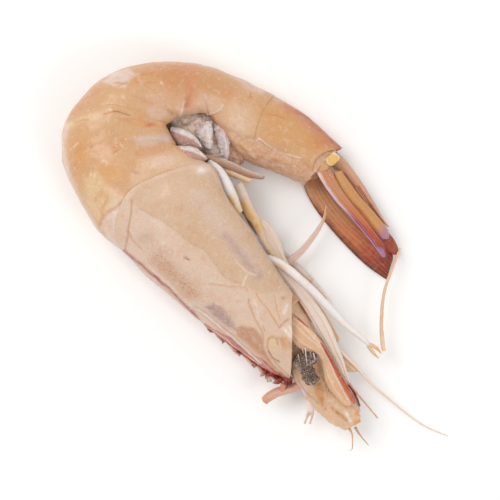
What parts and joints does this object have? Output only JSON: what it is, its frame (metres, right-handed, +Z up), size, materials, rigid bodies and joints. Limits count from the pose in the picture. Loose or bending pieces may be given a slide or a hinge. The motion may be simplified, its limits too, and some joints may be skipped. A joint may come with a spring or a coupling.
{
  "type": "raw king prawn",
  "caption": "Raw whole king prawn lying curled on its side, head and tail fan on: cream and orange plates, toothed crest, dark eye, pale legs, thin feelers and a red-edged tail.",
  "frame": {"origin": "on the resting surface, under the centre of the bounding box", "axes": "+Z up, through the prawn from its right side to its left; the head points to +X and -Y, and the curl of the abdomen is at +Y"},
  "size_m": [0.0981, 0.0986, 0.0219],
  "materials": {
    "shell": "moist, slightly see-through cream to orange plates over pale meat",
    "plate": "moist cream flesh and thin plates of the face",
    "pale": "moist whitish legs and flaps",
    "thin": "thin orange-cream feelers and leg end",
    "tail": "golden orange tail leaves with violet and dark edges",
    "tail_dark": "deep red-brown tail leaves seen from inside",
    "swimmeret": "grey-violet flaps with pale rims",
    "eye": "dark olive-grey, dried and wrinkled"
  },
  "bodies": {
    "root": {"carapace": "shell", "abdomen_ring_1": "shell", "abdomen_ring_2": "shell", "abdomen_ring_3": "shell", "abdomen_ring_4": "shell", "abdomen_ring_5": "shell", "abdomen_ring_6": "shell", "head": "plate", "eye_left": "eye", "eye_right": "eye", "antennal_scale_left": "plate", "antennal_scale_right": "plate", "mouth_flap_left": "pale", "mouth_flap_right": "pale", "leg_stump": "pale", "leg_rod": "pale", "leg_flap": "pale", "leg_long": "pale", "leg_thin": "thin", "leg_strap": "pale", "leg_hidden_1": "pale", "leg_hidden_2": "pale", "swimmeret_leaf_upper": "swimmeret", "swimmeret_leaf_lower": "swimmeret", "swimmeret_lobe_near": "swimmeret", "swimmeret_lobe_far": "swimmeret", "swimmeret_hidden": "swimmeret", "swimmeret_rod_upper": "swimmeret", "swimmeret_rod_lower": "pale", "stalk_broken": "plate", "feeler_forked": "pale", "feeler_long": "thin", "feeler_short": "thin", "feeler_hooked": "thin", "feeler_tip": "thin", "telson": "tail", "uropod_base_left": "shell", "uropod_base_right": "shell", "uropod_inner_left": "tail", "uropod_outer_left": "tail", "uropod_inner_right": "tail_dark", "uropod_outer_right": "tail_dark"}
  },
  "joints": []
}
